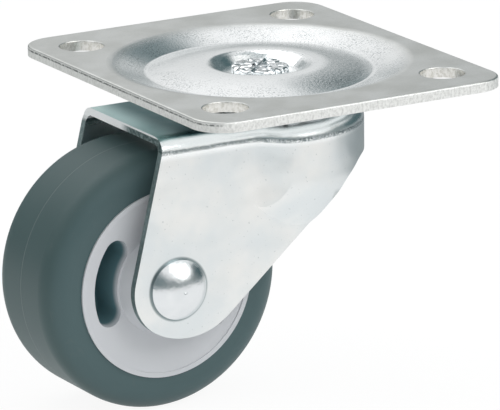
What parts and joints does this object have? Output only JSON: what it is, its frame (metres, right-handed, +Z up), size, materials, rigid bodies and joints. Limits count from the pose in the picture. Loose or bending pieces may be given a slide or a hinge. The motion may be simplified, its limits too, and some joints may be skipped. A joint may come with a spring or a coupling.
{
  "type": "swivel castor",
  "caption": "Swivel castor with a rectangular bolt-on top plate, a drawn sheet-steel fork on ball races and a rubber-tyred wheel on a riveted axle.",
  "frame": {"origin": "centre of the top plate's upper face, on the swivel axis", "axes": "+Z up out of the mounting face along the swivel axis; at rest the wheel trails towards -X and its axle lies along Y"},
  "size_m": [0.0847, 0.075, 0.0622],
  "materials": {
    "plate_steel": "zinc plated, satin",
    "fork_steel": "zinc plated, satin",
    "rivet_steel": "zinc plated, bright",
    "race_steel": "hardened steel, greased",
    "ball_steel": "ground steel",
    "hub_plastic": "moulded, satin",
    "tread_rubber": "smooth, matte"
  },
  "bodies": {
    "plate": {"top_plate": "plate_steel", "kingpin": "rivet_steel", "lower_race": "race_steel"},
    "fork": {"fork": "fork_steel", "axle_rivet": "rivet_steel", "axle_sleeve": "rivet_steel"},
    "wheel": {"hub": "hub_plastic", "tread": "tread_rubber"},
    "upper_balls": {"upper_ball_01": "ball_steel", "upper_ball_02": "ball_steel", "upper_ball_03": "ball_steel", "upper_ball_04": "ball_steel", "upper_ball_05": "ball_steel", "upper_ball_06": "ball_steel", "upper_ball_07": "ball_steel", "upper_ball_08": "ball_steel", "upper_ball_09": "ball_steel", "upper_ball_10": "ball_steel", "upper_ball_11": "ball_steel", "upper_ball_12": "ball_steel"},
    "lower_balls": {"lower_ball_01": "ball_steel", "lower_ball_02": "ball_steel", "lower_ball_03": "ball_steel", "lower_ball_04": "ball_steel", "lower_ball_05": "ball_steel", "lower_ball_06": "ball_steel", "lower_ball_07": "ball_steel", "lower_ball_08": "ball_steel", "lower_ball_09": "ball_steel", "lower_ball_10": "ball_steel", "lower_ball_11": "ball_steel"}
  },
  "joints": [
    {"name": "swivel", "type": "hinge", "parent": "plate", "child": "fork", "pos_m": [0, 0, 0], "axis": [0, 0, 1], "continuous": true},
    {"name": "wheel_spin", "type": "hinge", "parent": "fork", "child": "wheel", "pos_m": [-0.0272, 0, -0.03724], "axis": [0, 1, 0], "continuous": true},
    {"name": "upper_ball_run", "type": "hinge", "parent": "plate", "child": "upper_balls", "pos_m": [0, 0, 0], "axis": [0, 0, 1], "continuous": true},
    {"name": "lower_ball_run", "type": "hinge", "parent": "plate", "child": "lower_balls", "pos_m": [0, 0, 0], "axis": [0, 0, 1], "continuous": true}
  ],
  "couplings": [
    {"joint": "upper_ball_run", "follows": "swivel", "ratio": 0.5},
    {"joint": "lower_ball_run", "follows": "swivel", "ratio": 0.5}
  ]
}
